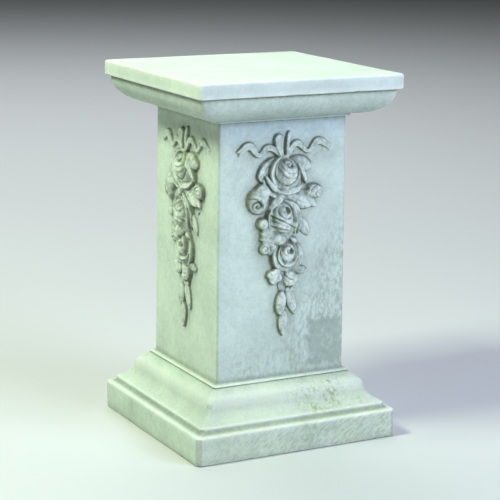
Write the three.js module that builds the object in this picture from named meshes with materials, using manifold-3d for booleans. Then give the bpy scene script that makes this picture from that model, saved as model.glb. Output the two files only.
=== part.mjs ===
// Square garden pedestal of cast stone, made as one casting: a plinth with an ogee base, a plain die,
// a cap of an ovolo under a slab, and on each of the die's four faces a drop of roses that hangs from
// a ribbon bow. Millimetres, +Z up, standing on z = 0 with its axis on Z. The front looks along -Y.
import * as THREE from 'three';
import { mergeVertices } from 'three/addons/utils/BufferGeometryUtils.js';
import Module from 'manifold-3d';

// Driving sizes of the body. A half is the distance from the axis to a flat side.
const height = 610;
const slabHalf = 184;
const slabThickness = 25;
const plinthHalf = 184;
const plinthTop = 48;
const coveReach = 8.5;
const filletHalf = 170.5;
const filletFoot = 53.5;
const filletTop = 58;
const shoulderHalf = 147;
const shoulderHeight = 82;
const rampHalf = 141.5;
const rampFoot = 95.5;
const rampTop = 106.5;
const beadReach = 8;
const dieFoot = 112.4;
const dieTop = 537;
const dieFootHalf = 118;
const dieTopHalf = 116;
const neckHalf = 122;
const neckTop = 542;
const ovoloReach = 55;
const ovoloDrop = 41.5;
const arrisRadius = 4;
const edgeChamfer = 1.8;
const cornerSteps = 3;
const curveSteps = 4;

// Rounding of the four upright corners by height: soft on the base and the cap, crisp on the die
const cornerRounding = [
  { z: 0, radius: 9 },
  { z: plinthTop, radius: 9 },
  { z: filletTop, radius: 6 },
  { z: rampFoot, radius: 9 },
  { z: rampTop, radius: 6 },
  { z: dieFoot, radius: 3.5 },
  { z: dieTop, radius: 3.5 },
  { z: neckTop, radius: 6 },
  { z: neckTop + ovoloDrop, radius: 9 },
  { z: height - slabThickness, radius: 7 },
  { z: height, radius: 7 },
];

// Driving sizes of the rose drop, laid out on a face as u to the right, v for height and out of the face
const faces = 4;
const sink = 4;
const girthFlats = 6;
const lengthSteps = 4;
const rosePetals = 5;
const roseFlats = 20;
const budPetals = 3;
const budFlats = 12;
const leafPoint = 0.8;
const loopPoint = 0.45;
const bowHeight = 479;
const tailStart = 5;
const tailLength = 84;
const tailRise = 8;
const tailSwing = 7;
const tailWave = 0.467;
const tailNotch = 8;
const tailSteps = 11;
const ribbonWidth = 14;
const ribbonRise = 6;

// A flower has a bulb, a heart off the bulb's middle and, where it is open, petals spread round it.
const roses = [
  { u: -4, v: 452, halfU: 23, halfV: 25, openU: 46, openV: 34, rise: 20, heartU: 3, heartV: 13, set: 0.35 },
  { u: -3, v: 377, halfU: 22, halfV: 25, openU: 27, openV: 40, rise: 19, heartU: 6, heartV: 14, set: 0.9 },
  { u: 3, v: 317, halfU: 17, halfV: 18, openU: 26, openV: 26, rise: 18, heartU: 5, heartV: 6, set: 0.1 },
];
const rosebuds = [
  { u: -49, v: 411, halfU: 18, halfV: 22, rise: 13, heartU: -3, heartV: -9, set: 0.5 },
  { u: 49, v: 413, halfU: 14, halfV: 15, rise: 12, heartU: 3, heartV: 4, set: 0 },
];
const smallBuds = [
  { u: 0, v: bowHeight, halfU: 9, halfV: 6, rise: 9 },
  { u: -38, v: 372, halfU: 11, halfV: 8, rise: 11 },
  { u: -34, v: 353, halfU: 9, halfV: 9, rise: 7 },
  { u: -31, v: 333, halfU: 11, halfV: 10, rise: 9 },
  { u: 23, v: 342, halfU: 7, halfV: 7, rise: 9 },
  { u: -15, v: 282, halfU: 13, halfV: 14, rise: 10 },
  { u: 13, v: 276, halfU: 15, halfV: 15, rise: 11 },
];
const leaves = [
  { from: [3, 420], to: [-32, 394], half: 8, rise: 11 },
  { from: [0, 416], to: [47, 396], half: 9, rise: 9 },
  { from: [20, 382], to: [45, 347], half: 9, rise: 8 },
  { from: [16, 292], to: [45, 289], half: 7, rise: 6 },
  { from: [-2, 262], to: [-7, 219], half: 10, rise: 8 },
  { from: [6, 262], to: [23, 217], half: 8, rise: 6 },
  { from: [4, 230], to: [3, 183], half: 9, rise: 6 },
];
const bowLoops = [
  { from: [-3, 474], to: [-14, 522], half: 9, rise: 7 },
  { from: [4, 474], to: [6, 522], half: 7, rise: 6 },
];

// Sections through a flower from the heart out: reach as a share of the bulb up to 1 and of its opening
// from 1 to 2, rise as a share of the flower's own, and lap as the share by which petals overlap there.
const roseSection = [
  { reach: 0, rise: 0.55, lap: 0 },
  { reach: 0.34, rise: 0.92, lap: 0.1 },
  { reach: 0.48, rise: 0.74, lap: 0.05 },
  { reach: 0.9, rise: 0.78, lap: 0.2 },
  { reach: 1.1, rise: 0.4, lap: 0.05 },
  { reach: 1.7, rise: 0.5, lap: 0.25 },
  { reach: 2, rise: 0.28, lap: 0.15 },
  { reach: 1.95, rise: -0.2, lap: 0 },
];
const budSection = [
  { reach: 0, rise: 0.6, lap: 0 },
  { reach: 0.35, rise: 0.95, lap: 0.1 },
  { reach: 0.5, rise: 0.8, lap: 0.05 },
  { reach: 0.85, rise: 0.7, lap: 0.1 },
  { reach: 1, rise: 0.2, lap: 0 },
  { reach: 0.95, rise: -0.3, lap: 0 },
];

const wasm = await Module();
wasm.setup();

// A closed geometry as a solid, with its faces turned to point out
function solidOf(geometry) {
  geometry.deleteAttribute('normal');
  geometry.deleteAttribute('uv');
  const merged = mergeVertices(geometry, 1e-3);
  const vertProperties = new Float32Array(merged.attributes.position.array);
  const corner = (i) => new THREE.Vector3().fromArray(vertProperties, 3 * i);
  const triangles = [];
  let volume = 0;
  const index = merged.index.array;
  for (let i = 0; i < index.length; i += 3) {
    const [a, b, c] = index.slice(i, i + 3);
    if (a === b || b === c || c === a) continue;
    triangles.push([a, b, c]);
    volume += corner(a).dot(corner(b).cross(corner(c)));
  }
  const outward = volume > 0 ? triangles : triangles.map(([a, b, c]) => [a, c, b]);
  return new wasm.Manifold(new wasm.Mesh({
    numProp: 3,
    vertProperties,
    triVerts: new Uint32Array(outward.flat()),
  }));
}

function geometryOf(solid) {
  const { vertProperties, triVerts } = solid.getMesh();
  const geometry = new THREE.BufferGeometry();
  geometry.setAttribute('position', new THREE.BufferAttribute(new Float32Array(vertProperties), 3));
  geometry.setIndex(new THREE.BufferAttribute(new Uint32Array(triVerts), 1));
  return geometry;
}

const join = (solids) => solids.reduce((whole, next) => whole.add(next));

// The moulded outline from the middle of the underside to the middle of the top, as half width and height
function bodyOutline() {
  const slabFoot = height - slabThickness;
  const outline = new THREE.Path();
  outline.moveTo(0, 0);
  outline.lineTo(plinthHalf - edgeChamfer, 0);
  outline.lineTo(plinthHalf, edgeChamfer);
  outline.lineTo(plinthHalf, plinthTop - arrisRadius);
  outline.quadraticCurveTo(plinthHalf, plinthTop, plinthHalf - arrisRadius, plinthTop);
  outline.lineTo(filletHalf + coveReach, plinthTop);
  outline.quadraticCurveTo(filletHalf + 1, plinthTop + 0.5, filletHalf, filletFoot);
  outline.lineTo(filletHalf, filletTop);
  outline.quadraticCurveTo(shoulderHalf + 1.5, filletTop + 10, shoulderHalf, shoulderHeight);
  outline.quadraticCurveTo(shoulderHalf - 1, rampFoot - 4, rampHalf, rampFoot);
  outline.quadraticCurveTo(rampHalf - 7, rampFoot + 6.5, dieFootHalf + beadReach + 1, rampTop);
  outline.lineTo(dieFootHalf + beadReach - 1.5, rampTop + 0.7);
  outline.quadraticCurveTo(dieFootHalf + 1.6 * beadReach, (rampTop + dieFoot) / 2, dieFootHalf, dieFoot);
  outline.lineTo(dieTopHalf, dieTop);
  outline.lineTo(neckHalf, dieTop + 0.5);
  outline.lineTo(neckHalf, neckTop);
  outline.absellipse(neckHalf, neckTop + ovoloDrop, ovoloReach, ovoloDrop, -Math.PI / 2, 0);
  outline.lineTo(neckHalf + ovoloReach, slabFoot);
  outline.lineTo(slabHalf - edgeChamfer, slabFoot);
  outline.lineTo(slabHalf, slabFoot + edgeChamfer);
  outline.lineTo(slabHalf, height - arrisRadius);
  outline.quadraticCurveTo(slabHalf, height, slabHalf - arrisRadius, height);
  outline.lineTo(0, height);
  return outline.getPoints(curveSteps);
}

function roundingAt(z) {
  const next = Math.max(1, cornerRounding.findIndex((step) => z <= step.z));
  const [low, high] = cornerRounding.slice(next - 1, next + 1);
  return THREE.MathUtils.mapLinear(z, low.z, high.z, low.radius, high.radius);
}

// The outline turned about the axis, with each ring of the turning moved onto a square with round corners
function squareBody() {
  const outline = bodyOutline();
  const columns = faces * cornerSteps;
  const body = new THREE.LatheGeometry(outline, columns);
  const position = body.attributes.position;
  const upright = new THREE.Vector3(0, 0, 1);
  for (let i = 0; i < position.count; i++) {
    const column = Math.floor(i / outline.length) % columns;
    const { x: half, y: z } = outline[i % outline.length];
    const radius = Math.min(roundingAt(z), half);
    const angle = (column % cornerSteps) / (cornerSteps - 1) * Math.PI / 2;
    const place = new THREE.Vector3(half - radius, half - radius, z);
    place.x += radius * Math.cos(angle);
    place.y += radius * Math.sin(angle);
    place.applyAxisAngle(upright, Math.floor(column / cornerSteps) * Math.PI / 2);
    position.setXYZ(i, place.x, place.y, place.z);
  }
  return solidOf(body);
}

// A place on the front face: u to the right, v for height, out of the face, which leans with the die's draft
function setOnFace(position, i, u, out, v) {
  const face = THREE.MathUtils.mapLinear(v, dieFoot, dieTop, dieFootHalf, dieTopHalf);
  position.setXYZ(i, u, -face - Math.max(out, -sink), v);
}

// A ball drawn out into another closed form: form gives the place of each turn round it and step along it
function drawnBall(flats, steps, form) {
  const ball = new THREE.SphereGeometry(1, flats, steps);
  const { position, uv } = ball.attributes;
  for (let i = 0; i < position.count; i++) {
    const { u, out, v } = form(2 * Math.PI * uv.getX(i), 1 - uv.getY(i));
    setOnFace(position, i, u, out, v);
  }
  return solidOf(ball);
}

// A rounded mound on the face
function mound({ u, v, halfU, halfV, rise }) {
  return drawnBall(girthFlats, lengthSteps, (turn, along) => {
    const ring = Math.sin(Math.PI * along);
    return {
      u: u + halfU * ring * Math.cos(turn),
      out: rise * Math.cos(Math.PI * along),
      v: v + halfV * ring * Math.sin(turn),
    };
  });
}

// A flower: rings that follow its section, from round the heart to the edge of its petals, each petal
// rising along its turn and dropping onto the next, and each ring's petals set on from those inside it
function flower(size, section, petals, flats) {
  const { u, v, halfU, halfV, rise, heartU, heartV, set } = size;
  const { openU = halfU, openV = halfV } = size;
  const last = section.length;
  return drawnBall(flats, last, (turn, along) => {
    const ring = Math.round(along * last);
    const { reach, rise: share, lap } = section[ring] ?? { reach: 0, rise: -1, lap: 0 };
    const openShare = Math.max(reach - 1, 0);
    const bulbShare = Math.min(reach, 1);
    const past = (turn + set + ring) * petals / (2 * Math.PI);
    const lift = (past - Math.floor(past) - 0.5) * lap;
    const ringU = THREE.MathUtils.lerp(bulbShare * halfU, openU, openShare);
    const ringV = THREE.MathUtils.lerp(bulbShare * halfV, openV, openShare);
    return {
      u: u + heartU * (1 - bulbShare) + ringU * (1 + lift) * Math.cos(turn),
      out: rise * (share + lift),
      v: v + heartV * (1 - bulbShare) + ringV * (1 + lift) * Math.sin(turn),
    };
  });
}

// A leaf or a loop of ribbon from its root to its tip, with a raised back: a low point gives a blunt tip
function leaf({ from, to, half, rise }, point) {
  const root = new THREE.Vector2(...from);
  const run = new THREE.Vector2(...to).sub(root);
  const across = new THREE.Vector2(-run.y, run.x).normalize();
  return drawnBall(girthFlats, lengthSteps, (turn, along) => {
    const swell = Math.sin(Math.PI * along) ** point;
    const side = half * swell * Math.cos(turn);
    return {
      u: root.x + run.x * along + across.x * side,
      out: rise * swell * Math.sin(turn),
      v: root.y + run.y * along + across.y * side,
    };
  });
}

// A ribbon tail to one side of the bow: a waved band of even height with a forked end
function ribbonTail(side) {
  const line = (along) => {
    const swing = tailSwing * (1 - Math.cos(2 * Math.PI * along / tailWave));
    return bowHeight + tailRise * along + swing;
  };
  const upper = [];
  const lower = [];
  for (let step = 0; step <= tailSteps; step++) {
    const along = step / tailSteps;
    const u = side * (tailStart + tailLength * along);
    upper.push(new THREE.Vector2(u, line(along) + ribbonWidth / 2));
    lower.push(new THREE.Vector2(u, line(along) - ribbonWidth / 2));
  }
  const notch = new THREE.Vector2(side * (tailStart + tailLength - tailNotch), line(1));
  const band = new THREE.Shape([...upper, notch, ...lower.reverse()]);
  const ribbon = new THREE.ExtrudeGeometry(band, { depth: ribbonRise + sink, bevelEnabled: false });
  const position = ribbon.attributes.position;
  for (let i = 0; i < position.count; i++) {
    setOnFace(position, i, position.getX(i), position.getZ(i) - sink, position.getY(i));
  }
  return solidOf(ribbon);
}

function roseDrop() {
  return join([
    ...roses.map((size) => flower(size, roseSection, rosePetals, roseFlats)),
    ...rosebuds.map((size) => flower(size, budSection, budPetals, budFlats)),
    ...smallBuds.map(mound),
    ...leaves.map((size) => leaf(size, leafPoint)),
    ...bowLoops.map((size) => leaf(size, loopPoint)),
    ribbonTail(-1),
    ribbonTail(1),
  ]);
}

const drop = geometryOf(roseDrop());
const drops = Array.from({ length: faces }, (_, k) => solidOf(drop.clone().rotateZ(2 * Math.PI * k / faces)));

const castStone = new THREE.MeshStandardMaterial({ color: 0xd3d6c9, roughness: 0.9, metalness: 0 });
const pedestal = new THREE.Mesh(geometryOf(join([squareBody(), ...drops])), castStone);
pedestal.name = 'pedestal';

const group = new THREE.Group();
group.add(pedestal);

export default group;
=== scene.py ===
import bpy
import numpy as np
from mathutils import Matrix, Vector


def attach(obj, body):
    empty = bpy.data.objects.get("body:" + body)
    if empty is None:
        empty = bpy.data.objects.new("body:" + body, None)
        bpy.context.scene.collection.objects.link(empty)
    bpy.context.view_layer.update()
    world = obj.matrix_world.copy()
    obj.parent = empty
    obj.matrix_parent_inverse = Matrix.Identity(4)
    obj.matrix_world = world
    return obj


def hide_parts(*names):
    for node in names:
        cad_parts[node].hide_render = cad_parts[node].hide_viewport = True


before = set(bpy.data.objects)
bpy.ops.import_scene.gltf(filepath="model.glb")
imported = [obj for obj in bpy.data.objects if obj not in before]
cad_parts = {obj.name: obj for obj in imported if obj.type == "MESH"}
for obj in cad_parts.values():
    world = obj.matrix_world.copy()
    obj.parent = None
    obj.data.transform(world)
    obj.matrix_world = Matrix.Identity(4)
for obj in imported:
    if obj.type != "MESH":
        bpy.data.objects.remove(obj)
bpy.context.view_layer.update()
mm = 0.001                      # sizes below are in millimetres and turn to metres in the mesh
faceNames = ["Front", "Right", "Back", "Left"]


# 0 below low, 1 above high, and a smooth step in between
def fade(low, high, value):
    share = np.clip((value - low) / (high - low), 0, 1)
    return share * share * (3 - 2 * share)


# random values on a lattice with one cell per grain, blended smoothly in between
def swell(places, grain, seed):
    size = 24
    lattice = np.random.default_rng(seed).random((size, size, size))
    cell = np.asarray(places) / grain
    low = np.floor(cell).astype(int)
    part = cell - low
    part = part * part * (3 - 2 * part)
    total = np.zeros(cell.shape[:-1])
    for corner in np.ndindex(2, 2, 2):
        i, j, k = np.moveaxis((low + corner) % size, -1, 0)
        total += np.prod(np.where(corner, part, 1 - part), axis=-1) * lattice[i, j, k]
    return total


# bell-shaped averaging along one axis of a grid, as a product with a matrix of weights
def blurred(values, spread, axis):
    steps = np.arange(values.shape[axis])
    weights = np.exp(-0.5 * ((steps[:, None] - steps) / spread) ** 2)
    weights /= weights.sum(axis=1, keepdims=True)
    return np.moveaxis(np.tensordot(weights, values, (1, axis)), 0, axis)


# the same along both axes
def softened(values, spread):
    return blurred(blurred(values, spread, 0), spread, 1)


# quads between the rows and columns of a grid; a ring joins its last column to its first
def gridQuads(rows, columns, ring):
    index = np.arange(rows * columns).reshape(rows, columns)
    if ring:
        index = np.hstack([index, index[:, :1]])
    return np.stack([index[:-1, :-1], index[:-1, 1:], index[1:, 1:], index[1:, :-1]], axis=-1).reshape(-1, 4)


# new object in the scene
def newObject(name, data):
    made = bpy.data.objects.new(name, data)
    bpy.context.scene.collection.objects.link(made)
    return made


# a mesh piece from places in millimetres, its faces and one number per vertex for each mask
def stonePiece(name, places, faces, masks, material):
    mesh = bpy.data.meshes.new(name)
    mesh.from_pydata((places * mm).tolist(), [], faces)
    mesh.polygons.foreach_set("use_smooth", np.ones(len(mesh.polygons), dtype=bool))
    for key, values in masks.items():
        values = np.clip(values, 0, 1).astype(np.float32).ravel()
        mesh.attributes.new(key, "FLOAT", "POINT").data.foreach_set("value", values)
    mesh.materials.append(material)
    mesh.update()
    piece = newObject(name, mesh)
    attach(piece, "root")
    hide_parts("pedestal")
    print("piece", name, len(mesh.vertices), "vertices")


# rose drop: a relief of heights over the die's face, with u to the right, v up and heights out of the face
roseDrop = dict(
    sink=1.2, skirt=0.2, wall=6, lip=0.5, dish=1.6, dishHalf=5, ripple=0.7, ripplePitch=5.0,
    veinPitch=8, veinSlant=9, veinWidth=1.1, uneven=1.5, soften=0.7, rows=440, columns=210,
    mapStep=1.0, nearBlur=1.8, midBlur=5.0, farBlur=12.0, crestReach=7, crestBlur=3.0,
    # v with the left and right ends of the grid's row there
    envelope=[(174, -14, 16), (200, -20, 24), (225, -28, 34), (250, -30, 38), (265, -40, 42), (285, -42, 54),
              (300, -40, 54), (320, -56, 50), (345, -60, 60), (375, -64, 64), (386, -80, 72), (400, -82, 76),
              (432, -82, 76), (446, -70, 68), (464, -68, 68), (474, -106, 98), (514, -106, 98),
              (526, -40, 30), (534, -36, 26)],
    # where its crests are less bright and its wash and painted shade stronger: place, reach and share
    dull=[(0, 498, 95, 16, 0.6), (-52, 408, 20, 22, 0.25), (-31, 350, 15, 32, 0.55), (8, 222, 26, 42, 0.5),
          (38, 290, 12, 9, 0.4)],
    # painted shade in the folds beside and under the ribbons, and broader painted shade round the ribbons,
    # the lower leaves and the small buds: place, reach and strength
    folds=[(34, 488, 6, 3, 0.8), (72, 492, 2.5, 6, 0.5), (-57, 489, 4, 5, 0.7), (-31, 489, 5, 3, 0.6),
           (-15, 485, 3, 4, 0.5), (16, 486, 3, 4, 0.4), (0, 491, 72, 11, 0.26), (6, 222, 20, 30, 0.3),
           (-42, 345, 13, 36, 0.3)],
    # places are (u, v, height) read off the front, where a height shows aside of its place
    lean=(-0.55, 0.25), shift=(2.5, -2),
)

# forms in the order they go on, with the move that sets each spray where the photograph has it
roseDrop["sprays"] = [
    # ribbons to the right
    dict(move=(0.9, 0.6), forms=[
        dict(shape="ribbon", path=[
            (4, 476, 6.5, 2.4), (9, 484, 5.9, 3), (13, 492, 5.9, 3.8), (19, 497.5, 6.1, 4.4),
            (26, 497.5, 5.9, 4.4), (32, 492.5, 5, 3.8), (37.5, 486.5, 4.2, 3), (43, 484, 4, 2.4)]),
        dict(shape="ribbon", fork=5, path=[
            (39, 484, 4, 2.4), (46, 485.5, 4.5, 3.2), (52, 492, 5.2, 4.4), (59, 499, 5.7, 5.2),
            (67, 499.5, 5.2, 5), (76, 494, 4, 4.4), (86, 487, 2.8, 3.6)]),
    ]),
    # ribbons to the left
    dict(move=(1.4, -1), forms=[
        dict(shape="ribbon", path=[
            (-4, 476, 6.5, 2.4), (-11, 483.5, 5.9, 3), (-18, 490.5, 5.9, 3.8), (-26, 495, 6.1, 4.4),
            (-34, 494.5, 5.9, 4.4), (-40, 489, 5.2, 3.8), (-46, 484.5, 4.5, 3)]),
        dict(shape="ribbon", fork=5, path=[
            (-43, 484, 4.2, 2.6), (-50, 485, 5, 3.4), (-55.5, 491.5, 5.9, 4.6), (-61, 498.5, 6.6, 5.4),
            (-69, 499.5, 6.1, 5.4), (-78, 494, 5, 4.6), (-87, 487.5, 3.8, 4)]),
    ]),
    # loops of the bow
    dict(move=(1.8, -1.2), forms=[
        dict(shape="ribbon", path=[
            (-3, 475, 7.1, 2.6), (-7.5, 486, 7.7, 4), (-10.5, 498, 8.3, 6), (-11, 508, 7.7, 7.4)]),
        dict(shape="ribbon", path=[
            (3, 475, 7.1, 1.8), (3.8, 488, 6.5, 2.2), (4.6, 502, 6.5, 2.8), (7, 517, 5.9, 3)]),
    ]),
    # knot
    dict(move=(1, -0.5), forms=[dict(shape="mound", at=(0, 477, 8), reach=(8, 5.5), tall=9)]),
    dict(move=(0, 0), forms=[
        # bed under the sprays
        dict(shape="mound", at=(-4, 440, 0), reach=(34, 34), tall=6, power=3, blend=2),
        dict(shape="mound", at=(-6, 380, 0), reach=(30, 44), tall=5.5, power=3, blend=2),
        dict(shape="mound", at=(-28, 352, 0), reach=(16, 33), tall=8, tilt=6, power=3.5, blend=2),
        dict(shape="mound", at=(4, 302, 0), reach=(20, 34), tall=5, power=3, blend=2),
        dict(shape="mound", at=(2, 270, 0), reach=(14, 16), tall=4, power=3, blend=2),
        dict(shape="mound", at=(30, 408, 0), reach=(24, 16), tall=4.5, tilt=-15, power=3, blend=2),
        dict(shape="mound", at=(-46, 407, 0), reach=(16, 19), tall=6, power=3, blend=2),
        # leaves
        dict(shape="leaf", root=(6, 415, 8), tip=(50, 394, 6), half=11, tall=9, vein=1.5, blunt=1.1),
        dict(shape="leaf", root=(28, 377, 5), tip=(47, 346, 4), half=8.5, tall=5.5, vein=0.9),
        dict(shape="leaf", root=(22, 291, 5), tip=(45, 288, 4), half=6.5, tall=6, vein=1.2),
        dict(shape="leaf", root=(9, 258, 5), tip=(23, 216, 4), half=8.5, tall=6.5, blunt=0.7, point=0.55),
        dict(shape="leaf", root=(3, 224, 6), tip=(1, 182, 5), half=8, tall=8, bend=-0.1),
        dict(shape="leaf", root=(-1, 257, 7), tip=(-6, 218, 6), half=9, tall=9.5, blunt=1, point=0.5,
             bend=0.1),
        # right bud
        dict(shape="leaf", root=(38, 410, 6), tip=(60, 394, 4), half=8, tall=7, vein=0.8),
        dict(shape="mound", at=(54, 419, 6), reach=(17, 12), tall=9.5, tilt=-10, power=2.2, blend=2),
        dict(shape="mound", at=(61, 417.5, 8), reach=(12, 11.5), tall=12, tilt=-10, power=2.2, blend=3),
        dict(shape="lap", breadth=7, rise=2.4, rim=[
            (44, 408, 8), (48, 416, 10), (54, 424, 11.5), (64, 429, 10)]),
        dict(shape="coil", at=(65, 415, 9), reach=(9.5, 9), tilt=-20, turns=1.4, depth=3.2, start=0.4),
        dict(shape="pit", at=(42, 424, 7), reach=(5, 4), tilt=20, depth=4, rim=0.6),
        # top rose
        dict(shape="mound", at=(-2, 450, 0), reach=(30, 28), tall=10.5, power=3),
        dict(shape="mound", at=(29, 465.5, 5), reach=(22, 14), tall=10.5, tilt=-14, power=2.1, blend=2),
        dict(shape="petal", breadth=19, drop=2, rim=[
            (-12, 478, 6), (-25, 476, 7), (-36.5, 468, 7.5),
            (-44.5, 456, 7.5), (-46, 446, 7.5), (-39, 437, 6.5)]),
        dict(shape="petal", breadth=8, drop=4, rim=[
            (-3, 477.5, 12), (-12, 473.5, 13), (-19.5, 464, 14),
            (-22.5, 452, 14), (-20, 440, 13), (-11, 429, 11)]),
        dict(shape="ridge", half=3.6, rim=[
            (-31, 447, 10.5), (-25, 436.5, 11.5), (-17, 427.5, 11.5), (-7, 420.5, 10.5)]),
        dict(shape="ridge", half=3.6, rim=[(-37, 441, 9), (-33, 430, 10), (-26, 421, 10), (-15, 414, 9)]),
        dict(shape="petal", breadth=9, drop=2.5, rim=[
            (-12, 425, 10), (-4, 419, 11.5), (6, 416.5, 12.5),
            (17, 417, 12.5), (27, 420.5, 11), (35, 430, 9)]),
        dict(shape="petal", breadth=6, drop=2, rim=[
            (21, 470, 12.5), (27, 461, 13.5), (33, 450, 12.5), (38, 440, 11), (42, 432, 8)]),
        dict(shape="mound", at=(6, 452, 10), reach=(22, 24.5), tall=20, tilt=8, power=2.1),
        dict(shape="lap", breadth=8, rise=2.8, rim=[
            (24, 466, 13), (28, 455, 14), (27.5, 444, 14.5), (21, 434, 15), (9, 428.5, 15), (-4, 432, 14)]),
        dict(shape="lap", breadth=8, rise=2.4, rim=[
            (-2, 474, 14), (-9, 466, 16), (-13, 454, 17), (-10, 441, 16), (-2, 433, 15)]),
        dict(shape="lap", breadth=8, rise=2.2, rim=[
            (-6, 459, 17), (0, 449, 19), (9, 443, 19), (19, 443.5, 17.5), (26, 451, 15)]),
        dict(shape="lap", breadth=7, rise=2, rim=[
            (-4, 468, 17), (1, 457.5, 19), (9, 451.5, 20), (19, 452, 18.5), (25, 459, 15)]),
        dict(shape="coil", at=(9.5, 464, 18), reach=(12, 9), tilt=-38, turns=1.5, depth=3.6, start=0.1),
        dict(shape="pit", at=(14, 461.5, 17), reach=(3.4, 2.8), tilt=-40, depth=2.5, rim=0.6),
        # left bud
        dict(shape="mound", at=(-52, 410, 0), reach=(17.5, 21), tall=13, tilt=10),
        dict(shape="mound", at=(-45, 421, 0), reach=(14.5, 18), tall=14.5, tilt=-15, blend=5),
        dict(shape="lap", breadth=7, rise=3, rim=[
            (-70, 407, 9), (-63, 413, 11), (-54, 414, 13),
            (-45, 409.5, 13), (-39, 401, 11), (-40, 392, 9)]),
        dict(shape="coil", at=(-48, 401, 11), reach=(12, 10.5), tilt=25, turns=1.7, depth=4.2),
        # leaf between the roses
        dict(shape="mound", at=(-12, 405, 9), reach=(20.5, 8.5), tall=10.5, tilt=42, power=2.3),
    ]),
    # middle rose
    dict(move=(-3, -1.5), forms=[
        dict(shape="mound", at=(-2, 377, 0), reach=(26, 33), tall=9, power=3),
        dict(shape="petal", breadth=8, drop=3.5, rim=[
            (31, 352, 6), (35.5, 366, 8), (35.5, 381, 9), (31, 394, 11), (22, 402.5, 12.5), (6, 408, 11)]),
        dict(shape="petal", breadth=5, drop=3, rim=[
            (25, 352, 9), (28.5, 366, 11), (28.5, 380, 12), (25.5, 391, 13), (18, 399, 13.5)]),
        dict(shape="petal", breadth=8, drop=4, rim=[
            (-14, 400, 8), (-21, 392, 10), (-24, 381, 11), (-23, 369, 11), (-20, 357, 9)]),
        dict(shape="mound", at=(4, 378, 13), reach=(20, 26), tall=16.5, tilt=5),
        dict(shape="coil", at=(6.5, 389.5, 15), reach=(17.5, 14), tilt=-30, turns=1.9, depth=3.4,
             start=0.2),
        dict(shape="pit", at=(11, 391, 14), reach=(6.5, 5.5), tilt=-35, depth=6, rim=1),
        dict(shape="lap", breadth=10, rise=3, rim=[
            (-25, 389, 14), (-11, 382, 17), (3, 374.5, 18), (16, 367.5, 17), (30, 360, 12)]),
        dict(shape="lap", breadth=5, rise=1.5, rim=[
            (-23, 381, 13.5), (-10, 374, 16), (3, 368.5, 16.5), (14, 364.5, 15)]),
        dict(shape="lap", breadth=8, rise=2.6, rim=[
            (-24, 371, 13), (-10, 365.5, 15), (4, 361.5, 15), (18, 358, 13)]),
        dict(shape="lap", breadth=6, rise=1.6, rim=[
            (-22, 361, 12), (-9, 358, 13.5), (5, 355, 13), (20, 353, 11)]),
        dict(shape="mound", at=(-2, 343.5, 13), reach=(15, 10.5), tall=13, tilt=-12, blend=1.5),
        dict(shape="mound", at=(23, 341, 8), reach=(9, 5.5), tall=8.5, tilt=-35, power=2.2),
    ]),
    # small buds at the left
    dict(move=(-1.5, -2), forms=[
        dict(shape="mound", at=(-34, 372, 11), reach=(11, 10), tall=13.5, tilt=-15, power=2.1),
        dict(shape="mound", at=(-30, 356, 9), reach=(9.5, 7), tall=10.5, tilt=-20, power=2.3, blend=1),
        dict(shape="ridge", half=2, rim=[(-38, 347, 9), (-28, 345.5, 10), (-16, 340, 10)]),
        dict(shape="mound", at=(-30, 331, 9), reach=(10.5, 10), tall=10.5, power=2.3, blend=1),
        dict(shape="coil", at=(-31, 330, 10), reach=(8, 7.5), turns=1.2, depth=3.4, start=0.3),
        dict(shape="mound", at=(-17, 334, 10), reach=(8.5, 6.5), tall=11, tilt=-35, power=2.3, blend=1),
    ]),
    # low rose
    dict(move=(-1, 0), forms=[
        dict(shape="mound", at=(4, 316, 0), reach=(25, 25), tall=7, power=3),
        dict(shape="petal", breadth=9, drop=4, rim=[
            (16, 289, 6), (27, 293.5, 8), (34.5, 303, 9), (36.5, 315, 9.5), (33.5, 327, 9), (26, 336, 7)]),
        dict(shape="petal", breadth=10, drop=2.5, rim=[
            (-9, 332, 8), (-16, 321, 10), (-15.5, 308, 11),
            (-10, 297.5, 10.5), (2, 291, 9.5), (18, 289, 7)]),
        dict(shape="petal", breadth=7, drop=4, rim=[
            (-3, 330, 11), (-7, 319, 12.5), (-5, 307, 13), (3, 299, 13),
            (14, 297, 12), (24, 302, 11), (29, 312, 10)]),
        dict(shape="mound", at=(11, 320, 13), reach=(15, 16), tall=17),
        dict(shape="coil", at=(11, 323, 15), reach=(12.5, 11), tilt=-35, turns=1.6, depth=3.6, start=0.15),
        dict(shape="pit", at=(16, 322, 14), reach=(6, 5), tilt=-40, depth=5.5, rim=0.4),
        dict(shape="lap", breadth=6, rise=2.2, rim=[
            (0, 312, 14), (7, 304, 14), (17, 304, 13), (25, 311, 12)]),
    ]),
    # low clusters
    dict(move=(-1, 1), forms=[
        dict(shape="mound", at=(-13, 281, 8), reach=(12, 12), tall=8.5, power=3, blend=1.5),
        dict(shape="mound", at=(-9, 290, 9), reach=(8.5, 6), tall=10, tilt=15, power=2.2, blend=1),
        dict(shape="mound", at=(-20, 284, 9), reach=(8, 7), tall=9.6, tilt=35, power=2.2, blend=1),
        dict(shape="mound", at=(-15, 273, 9), reach=(8.5, 6), tall=9.4, tilt=-25, power=2.2, blend=1),
        dict(shape="mound", at=(-5, 279, 9), reach=(6.5, 8), tall=9.8, tilt=10, power=2.2, blend=1),
        dict(shape="mound", at=(16, 274, 9), reach=(14, 14), tall=9.5, power=2.8, blend=1.5),
        dict(shape="mound", at=(14, 283, 10), reach=(9.5, 7), tall=11.3, tilt=-20, power=2.2, blend=1),
        dict(shape="mound", at=(23, 276, 9), reach=(8, 8.5), tall=10.6, power=2.2, blend=1),
        dict(shape="mound", at=(13, 268, 9), reach=(9, 7), tall=10.8, tilt=10, power=2.2, blend=1),
        dict(shape="lap", breadth=5, rise=1.8, rim=[
            (6, 284, 10), (12, 277, 12), (20, 275, 11), (29, 277, 8)]),
        dict(shape="lap", breadth=5, rise=1.6, rim=[(8, 272, 10), (16, 269, 11), (27, 270, 8)]),
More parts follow.
